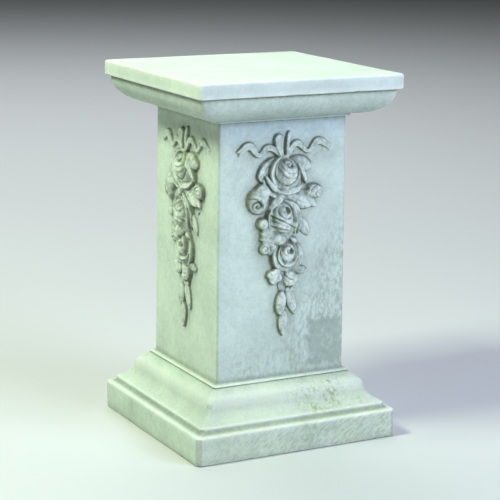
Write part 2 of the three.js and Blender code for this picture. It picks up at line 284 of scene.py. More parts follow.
        dict(shape="pit", at=(9, 262, 7), reach=(3.4, 2.6), tilt=20, depth=5, rim=0.4),
        dict(shape="pit", at=(17, 261, 7), reach=(3.4, 2.6), tilt=-10, depth=5, rim=0.4),
        dict(shape="pit", at=(25, 266, 7), reach=(3, 2.6), depth=4, rim=0.4),
        dict(shape="mound", at=(9, 258, 5), reach=(5, 4.5), tall=6.5),
        dict(shape="mound", at=(17, 258, 5), reach=(5, 4.5), tall=6.5),
    ]),
]


# the higher of two surfaces, rounded where they cross
def laidOver(ground, form, blend):
    share = np.clip(0.5 + 0.5 * (form - ground) / blend, 0, 1)
    return ground + (form - ground) * share + blend * share * (1 - share)


# points joined by a smooth curve that passes through each of them
def smoothPath(points, steps):
    p = np.asarray(points, float)
    p = np.vstack([2 * p[0] - p[1], p, 2 * p[-1] - p[-2]])
    t = np.linspace(0, 1, steps, endpoint=False)[:, None]
    a, b, c, d = p[:-3, None], p[1:-2, None], p[2:-1, None], p[3:, None]
    bends = (2 * a - 5 * b + 4 * c - d) * t ** 2 + (3 * b - a - 3 * c + d) * t ** 3
    spans = 0.5 * (2 * b + (c - a) * t + bends)
    return np.vstack([spans.reshape(-1, p.shape[1]), p[-2]])


# distance of each place of a grid from a path, with its side and the path's height, breadth and share there
def alongPath(u, v, points, steps=5):
    path = smoothPath(points, steps)
    run = np.concatenate([[0], np.cumsum(np.hypot(*np.diff(path[:, :2], axis=0).T))])
    near = dict(away=np.full(u.shape, 1e9), side=0.0, tall=0.0, wide=0.0, share=0.0, past=0.0, length=run[-1])
    for a, b, start, stop in zip(path[:-1], path[1:], run[:-1], run[1:]):
        step = b - a
        raw = ((u - a[0]) * step[0] + (v - a[1]) * step[1]) / (stop - start) ** 2
        t = np.clip(raw, 0, 1)
        away = np.hypot(u - a[0] - t * step[0], v - a[1] - t * step[1])
        past = np.maximum(-raw, 0) * (start == 0) + np.maximum(raw - 1, 0) * (stop == run[-1])
        here = dict(
            away=away,
            side=np.sign(step[0] * (v - a[1]) - step[1] * (u - a[0])),
            tall=a[2] + step[2] * t,
            wide=a[-1] + step[-1] * t,
            share=(start + t * (stop - start)) / run[-1],
            past=past * (stop - start),
        )
        hit = away < near["away"]
        for key in here:
            near[key] = np.where(hit, here[key], near[key])
    return near


# place in a form's own turned frame, in shares of its reach
def turnedFrame(u, v, at, reach, tilt):
    c, s = np.cos(np.radians(tilt)), np.sin(np.radians(tilt))
    return ((u - at[0]) * c + (v - at[1]) * s) / reach[0], ((v - at[1]) * c - (u - at[0]) * s) / reach[1]


# band along a path of places, heights and half widths, dished over its breadth, with a round or a forked end
def ribbon(u, v, path, fork=0):
    near = alongPath(u, v, path, 8)
    half = near["wide"]
    x = np.clip(near["away"] / half, 0, 1)
    notch = (np.maximum(fork * (1 - x) - (1 - near["share"]) * near["length"], 0) + near["past"]) * (fork > 0)
    band = near["tall"] + roseDrop["lip"] - roseDrop["dish"] * half / roseDrop["dishHalf"] * (1 - x * x)
    return band - roseDrop["wall"] * (np.maximum(near["away"] - half, 0) + notch)


# dome over an ellipse, steep at its edge
def mound(u, v, at, reach, tall, tilt=0, power=2.4):
    r = np.hypot(*turnedFrame(u, v, at, reach, tilt))
    dome = tall * np.clip(1 - r ** power, 0, 1) ** (1 / power)
    return dome - roseDrop["wall"] * np.maximum(r - 1, 0) * min(reach)


# lens-shaped blade from root to tip, crowned, with a sunk midrib and side veins
def leaf(u, v, root, tip, half, tall, vein=0.4, blunt=0.8, point=0.6, bend=0):
    length = np.hypot(tip[0] - root[0], tip[1] - root[1])
    du, dv = (tip[0] - root[0]) / length, (tip[1] - root[1]) / length
    a = ((u - root[0]) * du + (v - root[1]) * dv) / length
    x = (v - root[1]) * du - (u - root[0]) * dv - 4 * bend * half * a * (1 - a)
    s = np.clip(a, 0, 1)
    width = half * np.sin(np.pi * s ** blunt) ** point + 0.3
    w = np.clip(np.abs(x) / width, 0, 1)
    top = tall * (0.6 + 0.4 * np.sin(np.pi * (0.15 + 0.7 * s))) * (1 - 0.45 * w ** 2.2)
    waves = np.cos(2 * np.pi * (s * length / roseDrop["veinPitch"] - np.abs(x) / roseDrop["veinSlant"]))
    sideVeins = fade(0.2, 0.95, waves) * fade(0.1, 0.35, w) * fade(1, 0.7, w)
    midrib = np.exp(-(x / roseDrop["veinWidth"]) ** 2)
    top = top - vein * (midrib + 0.5 * sideVeins) * fade(0.02, 0.2, s) * fade(1, 0.75, s)
    return top - roseDrop["wall"] * (np.maximum(np.abs(x) - width, 0) + length * np.abs(a - s))


# open petal: the rim follows a path and the rippled face falls away on the left of it, narrowing to both ends
def petal(u, v, rim, breadth, drop):
    near = alongPath(u, v, rim)
    ends = np.sin(np.pi * np.clip(near["share"], 0.03, 0.97)) ** 0.5
    tall = near["tall"] - 2.5 * (1 - ends)
    away, wide = near["away"], breadth * ends
    face = tall - drop * np.clip(away / wide, 0, 1) ** 1.3 - roseDrop["wall"] * np.maximum(away - wide, 0)
    waves = 1 - np.cos(2 * np.pi * away / roseDrop["ripplePitch"])
    waves = waves * fade(0.1, 0.35, near["share"]) * fade(0.9, 0.65, near["share"])
    face = face - 0.5 * roseDrop["ripple"] * waves
    edge = tall - roseDrop["wall"] * np.maximum(away - 0.5, 0)
    return np.where((near["side"] > 0) & (near["past"] <= 0), face, edge)


# rolled petal edge: a round ridge along a path, thinner at its ends
def ridge(u, v, rim, half):
    near = alongPath(u, v, rim)
    ends = np.sin(np.pi * np.clip(near["share"], 0.04, 0.96)) ** 0.5
    wide = half * (0.45 + 0.55 * ends)
    x = np.clip(near["away"] / wide, 0, 1)
    back = near["tall"] - 1.5 * (1 - ends) - 0.45 * wide * x * x
    return back - roseDrop["wall"] * np.maximum(near["away"] - wide, 0)


# petal edge lying on a bulb: a step up on the left of its rim that dies away, and a groove on the right
def lap(ground, u, v, rim, breadth, rise):
    near = alongPath(u, v, rim)
    d = near["away"] * near["side"]
    ends = fade(0, 0.18, near["share"]) * fade(1, 0.82, near["share"]) * (near["past"] <= 0)
    step = fade(-0.6, 0.6, d) * (1 - fade(0.15 * breadth, breadth, d))
    groove = 0.45 * np.exp(-((d + 1.3) / 1.1) ** 2)
    return ground + ends * rise * (step - groove)


# open heart: a bowl sunk into the bulb with a raised lip
def pit(ground, u, v, at, reach, depth, rim, tilt=0):
    r = np.hypot(*turnedFrame(u, v, at, reach, tilt))
    return ground - depth * np.clip(1 - r * r, 0, 1) ** 0.7 + rim * np.exp(-((r - 1.1) / 0.2) ** 2)


# rolled heart: a groove that winds out from the middle
def coil(ground, u, v, at, reach, turns, depth, tilt=0, start=0):
    x, y = turnedFrame(u, v, at, reach, tilt)
    r, turn = np.hypot(x, y), np.arctan2(y, x) / (2 * np.pi)
    wave = 0.5 - 0.5 * np.cos(2 * np.pi * (turns * r ** 0.8 - turn + start))
    return ground - depth * (1 - wave ** 0.6) * fade(1, 0.75, r)


# where a form stands on the face: the place where it shows, with the lean of its height and its spray's move
def standing(seen, move):
    place = np.array(seen, float)
    for axis in (0, 1):
        place[..., axis] += roseDrop["shift"][axis] + move[axis] + roseDrop["lean"][axis] * place[..., 2]
    return place


# height of the whole drop: forms go on in turn and the higher shows; laps, pits and coils cut what is there
def dropHeight(u, v):
    added = dict(ribbon=ribbon, mound=mound, leaf=leaf, petal=petal, ridge=ridge)
    carved = dict(lap=lap, pit=pit, coil=coil)
    height = np.full(u.shape, -roseDrop["sink"])
    placed = ("at", "root", "tip", "path", "rim")
    for form, move in [(form, spray["move"]) for spray in roseDrop["sprays"] for form in spray["forms"]]:
        sizes = {key: size for key, size in form.items() if key not in ("shape", "blend")}
        for key in placed:
            if isinstance(sizes.get(key), (tuple, list)):
                sizes[key] = standing(sizes[key], move)
        if form["shape"] in added:
            height = laidOver(height, added[form["shape"]](u, v, **sizes), form.get("blend", 1.2))
        else:
            height = carved[form["shape"]](height, u, v, **sizes)
    return height


# highest value within a reach of each place of a grid
def highest(values, reach):
    for axis in (0, 1):
        padded = np.pad(values, [(reach, reach) if axis == side else (0, 0) for side in (0, 1)], mode="edge")
        values = np.lib.stride_tricks.sliding_window_view(padded, 2 * reach + 1, axis).max(axis=-1)
    return values


# even map of the drop over the face, its averages over a few millimetres and its crests, for the wash and
# painted shade in hollows
mapU = np.arange(-118.0, 118.1, roseDrop["mapStep"])
mapV = np.arange(150.0, 560.1, roseDrop["mapStep"])
mapHeight = np.maximum(dropHeight(*np.meshgrid(mapU, mapV)), 0)
mapNear, mapMid, mapFar = (softened(mapHeight, roseDrop[key] / roseDrop["mapStep"])
                           for key in ("nearBlur", "midBlur", "farBlur"))
mapCrest = softened(highest(mapHeight, roseDrop["crestReach"]), roseDrop["crestBlur"])
print("drop mapped", mapHeight.shape, "tallest", round(float(mapHeight.max()), 1), "mm")


# value of an even map at any place, straight in between its points
def onMap(values, u, v):
    x = np.clip((u - mapU[0]) / roseDrop["mapStep"], 0, len(mapU) - 1.001)
    y = np.clip((v - mapV[0]) / roseDrop["mapStep"], 0, len(mapV) - 1.001)
    i, j = x.astype(int), y.astype(int)
    x, y = x - i, y - j
    lower = values[j, i] * (1 - x) + values[j, i + 1] * x
    return lower * (1 - y) + (values[j + 1, i] * (1 - x) + values[j + 1, i + 1] * x) * y


# sum of soft round spots, each with its place, reach and strength
def spots(u, v, listed):
    total = np.zeros(u.shape)
    for at, up, across, along, share in listed:
        total = total + share * np.exp(-((u - at) / across) ** 2 - ((v - up) / along) ** 2)
    return total


# dark wash and painted shade on the plain face round the drop: strong at its foot and in the folds, and a
# thin painted shadow halo further out
def faceWashAndShade(u, v):
    foot = 0.5 * fade(0.2, 2.5, onMap(mapNear, u, v)) + 0.28 * fade(0.3, 4.5, onMap(mapMid, u, v))
    return np.maximum(foot, spots(u, v, roseDrop["folds"])) + 0.2 * fade(0.1, 2.4, onMap(mapFar, u, v))


# half width of the die at a height, with its draft
def dieHalf(v):
    share = (v - body["dieFoot"]) / (body["dieTop"] - body["dieFoot"])
    return body["dieFootHalf"] + share * (body["dieTopHalf"] - body["dieFootHalf"])


# grid over the drop whose rows keep to the drop's own width, so that its columns are fine where it is narrow
def dropGrid():
    envelope = np.array(roseDrop["envelope"])
    v = np.linspace(envelope[0, 0], envelope[-1, 0], roseDrop["rows"])[:, None]
    left, right = (np.interp(v, envelope[:, 0], envelope[:, side]) for side in (1, 2))
    u = left + (right - left) * np.linspace(0, 1, roseDrop["columns"])
    return u, np.broadcast_to(v, u.shape)


# the four drops: the relief's height over the grid, dark wash and painted shade in its hollows and on its
# walls, bare stone and painted highlights on its crests
def makeDrops(material):
    u, v = dropGrid()
    height = dropHeight(u, v)
    skirt = -roseDrop["sink"] + (roseDrop["sink"] + roseDrop["skirt"]) * fade(0.08, 0.35, onMap(mapMid, u, v))
    place = np.stack([u, v, np.zeros_like(u)], axis=-1)
    lumps = swell(place, 6, 11) + 0.5 * swell(place, 3, 12) - 0.75
    height = laidOver(height, skirt, 0.5) + roseDrop["uneven"] * lumps * fade(1, 9, height)
    height = softened(height, roseDrop["soften"])
    rise = np.maximum(height, 0)
    slope = np.hypot(np.gradient(rise, axis=1) / np.gradient(u, axis=1),
                     np.gradient(rise, axis=0) / np.gradient(v, axis=0))
    near, crest = onMap(mapNear, u, v), onMap(mapCrest, u, v)
    # painted shade with some dark wash: darker in hollows, below nearby crests and on steep walls
    hollow = fade(0.1, 1.4, near - rise)
    low = fade(1.0, 9.0, crest - rise) * fade(0, 1, rise)
    steep = fade(0.7, 2.2, slope) * fade(0.05, 0.6, (crest - rise) / np.maximum(crest, 2))
    blotches = 0.45 * swell(place, 8, 21) + 0.55 * swell(place, 3.4, 22)
    patchy = 0.4 * fade(0.46, 0.76, blotches) * fade(1, 4, rise)
    dull = np.clip(spots(u, v, roseDrop["dull"]), 0, 1)
    clearOfWashAndShade = (1 - 0.8 * hollow) * (1 - 0.6 * low) * (1 - 0.88 * steep) * (1 - patchy) * (1 - 0.35 * dull)
    washAndShade = np.maximum(faceWashAndShade(u, v) * fade(3, 0.5, rise), 1 - clearOfWashAndShade)
    # painted highlight with some real wear: crests and the tops of tall forms lighter
    wipedAndHighlit = fade(5, 1, crest - rise) * fade(2, 7, rise)
    bareAndHighlit = np.maximum(fade(0.1, 1.1, rise - near), 0.6 * wipedAndHighlit) * fade(2.6, 1.0, slope)
    wornAndHighlit = bareAndHighlit * (1 - dull) * (0.6 + 0.4 * fade(0.3, 0.7, swell(place, 3.5, 31)))
    border = np.arange(u.size).reshape(u.shape)
    back = np.concatenate([border[0, ::-1], border[1:, 0], border[-1, 1:], border[-2:0:-1, -1]])
    faces = gridQuads(*u.shape, False).tolist() + [back.tolist()]
    for turn, name in enumerate(faceNames):
        x, y = u, -dieHalf(v) - height
        for _ in range(turn):
            x, y = -y, x
        places = np.stack([x, y, v], axis=-1).reshape(-1, 3)
        stonePiece("roseDrop" + name, places, faces, dict(washAndShade=washAndShade, wornAndHighlit=wornAndHighlit), material)


# moulded body: an outline of half widths and heights carried round a square with eased corners
body = dict(
    height=610, slabHalf=184, slabThickness=25, plinthHalf=184, plinthTop=48, coveReach=8.5,
    filletHalf=170.5, filletFoot=53.5, filletTop=58, shoulderHalf=147, shoulderHeight=82,
    rampHalf=141.5, rampFoot=95.5, rampTop=106.5, beadReach=8, dieFoot=112.4, dieTop=537,
    dieFootHalf=118, dieTopHalf=116, neckHalf=122, neckTop=542, ovoloReach=55, ovoloDrop=41.5,
    arrisRadius=4, edgeChamfer=1.8, rampStop=1, beadStep=(-1.5, 0.7), beadSwell=1.6, neckStep=0.5,
    # how far the pulls of the base's curves stand off its corners
    covePull=(1, 0.5), flarePull=(1.5, 10), shoulderPull=(-1, -4), rampPull=(-7, 6.5),
    # height and rounding of the upright corners there
    cornerRounding=[(0, 9), (48, 9), (58, 6), (95.5, 9), (106.5, 6), (112.4, 3.5), (537, 3.5), (542, 6),
                    (583.5, 9), (585, 7), (610, 7)],
    # height with the thin darkening and the lightening there: the darkening is mostly painted shade with some
    # wash (contact line at the foot, cove, groove under the bead, top of the die under the cap, neck,
    # downward ovolo, under the slab), the lightening is bleaching and painted light on upward faces
    tone=[
        # plinth, cove and fillet
        (0, 0.7, 0), (2.5, 0.32, 0), (8, 0.09, 0.04), (43, 0.05, 0.04), (46, 0, 0.12), (48.3, 0, 0.12),
        (49, 0.14, 0), (53, 0.12, 0), (54.5, 0, 0.15), (58.5, 0, 0.15),
        # flare, shoulder, ramp and bead
        (61, 0.14, 0.2), (76, 0.12, 0.2), (84, 0, 0.36), (97, 0, 0.4), (102, 0.05, 0.05), (105.5, 0.12, 0),
        (106.8, 0.45, 0), (108.4, 0.05, 0), (110.8, 0, 0), (112.4, 0.1, 0),
        # die
        (115, 0.12, 0), (135, 0.06, 0), (190, 0, 0.06), (440, 0, 0.06), (480, 0.02, 0), (520, 0.1, 0),
        (535, 0.06, 0), (537, 0.5, 0),
        # neck and ovolo
        (538.5, 0.15, 0), (540.8, 0.15, 0), (542, 0.5, 0), (543.5, 0.34, 0), (556, 0.3, 0), (568, 0.22, 0),
        (577, 0.2, 0), (582.7, 0.42, 0), (584.7, 0.5, 0),
        # slab
        (586.5, 0.06, 0.05), (591, 0.03, 0.24), (604, 0.02, 0.25), (609, 0, 0.25), (610, 0, 0.38),
    ],
    middle=10, fine=0.4, soften=0.8, bulgeSpread=2.6, rows=230, sideSteps=46, cornerSteps=6,
    wander=0.45, chipDepth=1.3, chipGrain=8,
)


# quadratic curve from start to stop, drawn towards pull
def bow(start, pull, stop, steps=24):
    t = np.linspace(0, 1, steps)[:, None]
    return (1 - t) ** 2 * np.array(start) + 2 * t * (1 - t) * np.array(pull) + t ** 2 * np.array(stop)


# the body's outline from the middle of the underside to the middle of the top, evenly and finely spaced
def bodyOutline():
    b = body
    top, plinthTop, arris, chamfer = b["height"], b["plinthTop"], b["arrisRadius"], b["edgeChamfer"]
    plinth, fillet, shoulder, slab = b["plinthHalf"], b["filletHalf"], b["shoulderHalf"], b["slabHalf"]
    slabFoot = top - b["slabThickness"]
    covePull = np.add((fillet, plinthTop), b["covePull"])
    shoulderEdge, rampFoot = (shoulder, b["shoulderHeight"]), (b["rampHalf"], b["rampFoot"])
    bead = b["dieFootHalf"] + b["beadReach"]
    beadFoot = np.add((bead, b["rampTop"]), b["beadStep"])
    beadPull = (b["dieFootHalf"] + b["beadSwell"] * b["beadReach"], (b["rampTop"] + b["dieFoot"]) / 2)
    quarter = np.linspace(-np.pi / 2, 0, 40)[:, None]
    ovoloMiddle = np.array([b["neckHalf"], b["neckTop"] + b["ovoloDrop"]])
    line = np.vstack([
        # plinth
        [(b["middle"], 0), (plinth - chamfer, 0), (plinth, chamfer)],
        bow((plinth, plinthTop - arris), (plinth, plinthTop), (plinth - arris, plinthTop)),
        # cove, flare, shoulder and ramp
        bow((fillet + b["coveReach"], plinthTop), covePull, (fillet, b["filletFoot"])),
        bow((fillet, b["filletTop"]), np.add((shoulder, b["filletTop"]), b["flarePull"]), shoulderEdge),
        bow(shoulderEdge, np.add((shoulder, b["rampFoot"]), b["shoulderPull"]), rampFoot)[1:],
        bow(rampFoot, np.add(rampFoot, b["rampPull"]), (bead + b["rampStop"], b["rampTop"]))[1:],
        # bead
        [beadFoot],
        bow(beadFoot, beadPull, (b["dieFootHalf"], b["dieFoot"]))[1:],
        # die, neck and ovolo
        [(b["dieTopHalf"], b["dieTop"]), (b["neckHalf"], b["dieTop"] + b["neckStep"])],
        ovoloMiddle + np.hstack([b["ovoloReach"] * np.cos(quarter), b["ovoloDrop"] * np.sin(quarter)]),
        # slab
        [(b["neckHalf"] + b["ovoloReach"], slabFoot), (slab - chamfer, slabFoot), (slab, slabFoot + chamfer)],
        bow((slab, top - arris), (slab, top), (slab - arris, top)),
        [(b["middle"], top)],
    ])
    run = np.concatenate([[0], np.cumsum(np.hypot(*np.diff(line, axis=0).T))])
    even = np.arange(0, run[-1], b["fine"])
    return np.stack([np.interp(even, run, line[:, 0]), np.interp(even, run, line[:, 1])], axis=-1)


# moving average of an outline, with its ends held
def easedOutline(line, spread):
    reach = int(4 * spread / body["fine"])
    weights = np.exp(-0.5 * (np.arange(-reach, reach + 1) * body["fine"] / spread) ** 2)
    padded = np.pad(line, ((reach, reach), (0, 0)), mode="reflect", reflect_type="odd")
    weights /= weights.sum()
    return np.stack([np.convolve(padded[:, k], weights, mode="valid") for k in (0, 1)], axis=-1)


# plan places or directions turned by quarter turns
def quarterTurned(plan, count):
    for _ in range(count):
        plan = np.stack([-plan[:, 1], plan[:, 0]], axis=-1)
    return plan


# where the sides of a square run and which way they face, once round from the front's left end
def squareRing():
    side = np.linspace(-1, 1, body["sideSteps"])
    turn = np.linspace(-np.pi / 2, 0, body["cornerSteps"] + 1)[1:-1]
    place = np.vstack([np.stack([side, -np.ones_like(side)], -1), np.tile([1.0, -1.0], (len(turn), 1))])
    facing = np.vstack([np.tile([0.0, -1.0], (len(side), 1)), np.stack([np.cos(turn), np.sin(turn)], -1)])
    across = np.concatenate([side, np.ones_like(turn)])
    place, facing = (np.vstack([quarterTurned(plan, n) for n in range(4)]) for plan in (place, facing))
    corner = np.tile(np.concatenate([np.zeros_like(side), np.ones_like(turn)]), 4)
    return place, facing, np.tile(across, 4), corner


# the body: rings of the square along the outline, moved along their normals by wander and chips
def makeBody(material):
    b = body
    line = easedOutline(bodyOutline(), b["soften"])
    tangent = np.gradient(line, axis=0)
    tangent /= np.hypot(*tangent.T)[:, None]
    outward = np.stack([tangent[:, 1], -tangent[:, 0]], axis=-1)
    # above 0 on arrises, below 0 in hollows
    bulge = np.einsum("ij,ij->i", line - easedOutline(line, b["bulgeSpread"]), outward)
    bend = np.hypot(*np.gradient(tangent, axis=0).T)
    # rows stand closer where the outline bends
    need = np.cumsum(b["fine"] / 6 + np.minimum(bend, 0.12) * 5)
    even = np.linspace(need[0], need[-1], b["rows"])
    rows = np.unique(np.interp(even, need, np.arange(len(need))).round().astype(int))
    half, z = line[rows].T
    out, bulge = outward[rows], bulge[rows]
    place, facing, across, corner = squareRing()
    radius = np.minimum(np.interp(z, *np.array(b["cornerRounding"]).T), 0.5 * half)[:, None, None]
    flat = (half[:, None, None] - radius) * place + radius * facing
    places = np.concatenate([flat, np.broadcast_to(z[:, None, None], flat.shape[:2] + (1,))], axis=-1)
    rising = np.broadcast_to(out[:, None, 1:], flat.shape[:2] + (1,))
    normals = np.concatenate([facing[None] * out[:, None, :1], rising], axis=-1)
    upright = (out[:, :1] > 0.97) * (z < b["neckTop"])[:, None] * corner
    arris = np.maximum(fade(0.12, 0.5, bulge)[:, None], 0.3 * corner * (out[:, :1] > 0.5) * (1 - upright))
    lifted = (z > 1)[:, None]
    wander = b["wander"] * (swell(places, 55, 3) + 0.4 * swell(places, 17, 5) - 0.7)
    chipped = fade(0.66, 0.86, swell(places, b["chipGrain"], 8)) * fade(0.35, 0.7, swell(places, 45, 9))
    chips = b["chipDepth"] * arris * chipped
    places = places + normals * ((wander - chips) * lifted)[..., None]
    u = across[None] * (half[:, None] - radius[..., 0])
    onDie = ((z > b["dieFoot"]) & (z < b["dieTop"]))[:, None]
    thin, bleachedAndLit = (np.interp(z, np.array(b["tone"])[:, 0], np.array(b["tone"])[:, k]) for k in (1, 2))
    # the same wash and painted shade round the drop, on the die's plain face
    roundDrop = onDie * faceWashAndShade(u, np.broadcast_to(z[:, None], u.shape))
    # painted shade with some wash: darker in the concave corners of the mouldings, along the upright corners,
    # at the heights in the tone table and, on the die, round the drop
    washAndShade = (0.4 * fade(0.05, 0.5, -bulge) + thin)[:, None] + 0.24 * upright + roundDrop
    # lighter on the arrises by wear and painted highlight, and on upward faces by bleaching and painted light
    wornAndHighlit = np.maximum(arris * (0.5 + 0.5 * swell(places, 14, 6)), bleachedAndLit[:, None])
    underside = np.arange(len(across))[::-1]
    top = (len(half) - 1) * len(across) + np.arange(len(across))
    faces = gridQuads(*u.shape, True).tolist() + [underside.tolist(), top.tolist()]
    stonePiece("pedestalBody", places.reshape(-1, 3), faces, dict(washAndShade=washAndShade, wornAndHighlit=wornAndHighlit), material)


# node with its settings, and its inputs by name or number fed from a socket or set to a value
def addNode(tree, kind, inputs=(), **settings):
    node = tree.nodes.new("ShaderNode" + kind)
    for key, value in settings.items():
        setattr(node, key, value)
    for key, value in dict(inputs).items():
        if isinstance(value, bpy.types.NodeSocket):
            tree.links.new(value, node.inputs[key])
        else:
            node.inputs[key].default_value = value
    return node


def maths(tree, operation, a, b=0.0, clamp=False):
    return addNode(tree, "Math", {0: a, 1: b}, operation=operation, use_clamp=clamp).outputs[0]


def times(tree, a, b, clamp=False):
    return maths(tree, "MULTIPLY", a, b, clamp)


def plus(tree, a, b, clamp=False):
    return maths(tree, "ADD", a, b, clamp)


# a value times a scale, raised by a base
def scaled(tree, value, scale, base):
    return plus(tree, times(tree, value, scale), base)


def mixed(tree, share, a, b, blend="MIX"):
    return addNode(tree, "Mix", {0: share, 6: a, 7: b}, data_type="RGBA", blend_type=blend).outputs[2]


# value carried from low..high to 0..1 with a smooth step
def stepped(tree, value, low, high):
    span = {0: value, 1: low, 2: high, 3: 0.0, 4: 1.0}
    return addNode(tree, "MapRange", span, interpolation_type="SMOOTHSTEP").outputs[0]


def noise(tree, place, scale, detail=4.0, rough=0.55, twist=0.0):
    inputs = {"Vector": place, "Scale": scale, "Detail": detail, "Roughness": rough, "Distortion": twist}
    return addNode(tree, "TexNoise", inputs).outputs[0]


# node group with its input and output sockets listed by kind
def newGroup(name, inputs, outputs):
    tree = bpy.data.node_groups.new(name, "ShaderNodeTree")
    for way, sockets in (("INPUT", inputs), ("OUTPUT", outputs)):
        for kind, labels in sockets.items():
            for label in labels:
                tree.interface.new_socket(label, in_out=way, socket_type="NodeSocket" + kind)
    return tree, tree.nodes.new("NodeGroupInput").outputs, tree.nodes.new("NodeGroupOutput").inputs


# cast grain: broad mottling, flecks, fine specks and pits
def grainGroup():
    outputs = dict(Float=["Mottle", "Fleck", "Speck", "Pits"])
    tree, given, result = newGroup("castGrain", dict(Vector=["Place"]), outputs)
    place = given["Place"]
    mottle = noise(tree, place, 11.0, 6.0, 0.62, 0.4)
    fleck = noise(tree, place, 95.0, 5.0, 0.65)
    speck = noise(tree, place, 230.0, 3.0, 0.6)
    coarsePits = times(tree, noise(tree, place, 260.0, 4.0, 0.6), 0.7)
    finePits = times(tree, noise(tree, place, 900.0, 2.0), 0.3)
    tree.links.new(stepped(tree, mottle, 0.32, 0.7), result["Mottle"])
    tree.links.new(stepped(tree, fleck, 0.35, 0.68), result["Fleck"])
    tree.links.new(stepped(tree, speck, 0.35, 0.66), result["Speck"])
    tree.links.new(plus(tree, coarsePits, finePits), result["Pits"])
    return tree


# lime finish: pale lime over a greyer stone, dark wash and painted shade in the hollows, and bare bright
# stone with painted highlights on the worn edges
def finishGroup():
    colours = ["Lime", "Shade", "Wash Shade Tint", "Worn Highlight Tint"]
    masks = ["Mottle", "Fleck", "Speck", "WashAndShade", "WornAndHighlit"]
    tree, given, result = newGroup("limeFinish", dict(Color=colours, Float=masks), dict(Color=["Color"]))
    fine = plus(tree, times(tree, given["Fleck"], 0.3), times(tree, given["Speck"], 0.25))
    broken = plus(tree, times(tree, given["Mottle"], 0.55), fine, True)
    stone = mixed(tree, broken, given["Lime"], given["Shade"])
    wornAndHighlit = times(tree, given["WornAndHighlit"], scaled(tree, given["Fleck"], 0.45, 0.55), True)
    stone = mixed(tree, wornAndHighlit, stone, given["Worn Highlight Tint"])
    washAndShade = times(tree, given["WashAndShade"], scaled(tree, fine, 0.5, 0.85), True)
    tree.links.new(mixed(tree, washAndShade, stone, given["Wash Shade Tint"]), result["Color"])
    return tree


# box with soft sides: 1 inside low..high on an axis and 0 outside
def between(tree, value, low, high, soft):
    rising = stepped(tree, value, low - soft, low + soft)
    return times(tree, rising, stepped(tree, value, high + soft, high - soft))


# where the weather and the painted cap shadow lie, in metres: ends of an area across or up with their
# softness, or from none to full
frontWeatherAndShadow = dict(
    seam=0.002,
    squareAcross=(0.052, 0.114, 0.006), squareUp=(0.124, 0.2, 0.006),
    smudgeAcross=(0.054, 0.096, 0.015), smudgeUp=(0.462, 0.484, 0.013), smudgeShare=0.45,
    runScale=(185.0, 185.0, 95.0), sideSlant=0.4, sideEdge=(-0.1, -0.02), sideUp=(0.11, 0.37, 0.06),
    footAcross=(-0.11, 0.13, 0.04), footTop=(0.215, 0.13), footShare=0.5, dieFoot=(0.111, 0.115),
    streakTurn=(0.0, -0.7, 0.0), streakSize=(0.013, 0.1, 0.0028),
    streakLeft=(-0.3, 0.06), streakTop=(0.048, 0.042),
    speckAcross=(0.01, 0.13, 0.045), speckUp=(0.056, 0.108, 0.01),
    grimeTop=(0.06, 0.03), capShadowUp=(0.515, 0.55, 0.03), warmTop=(0.118, 0.1),
)


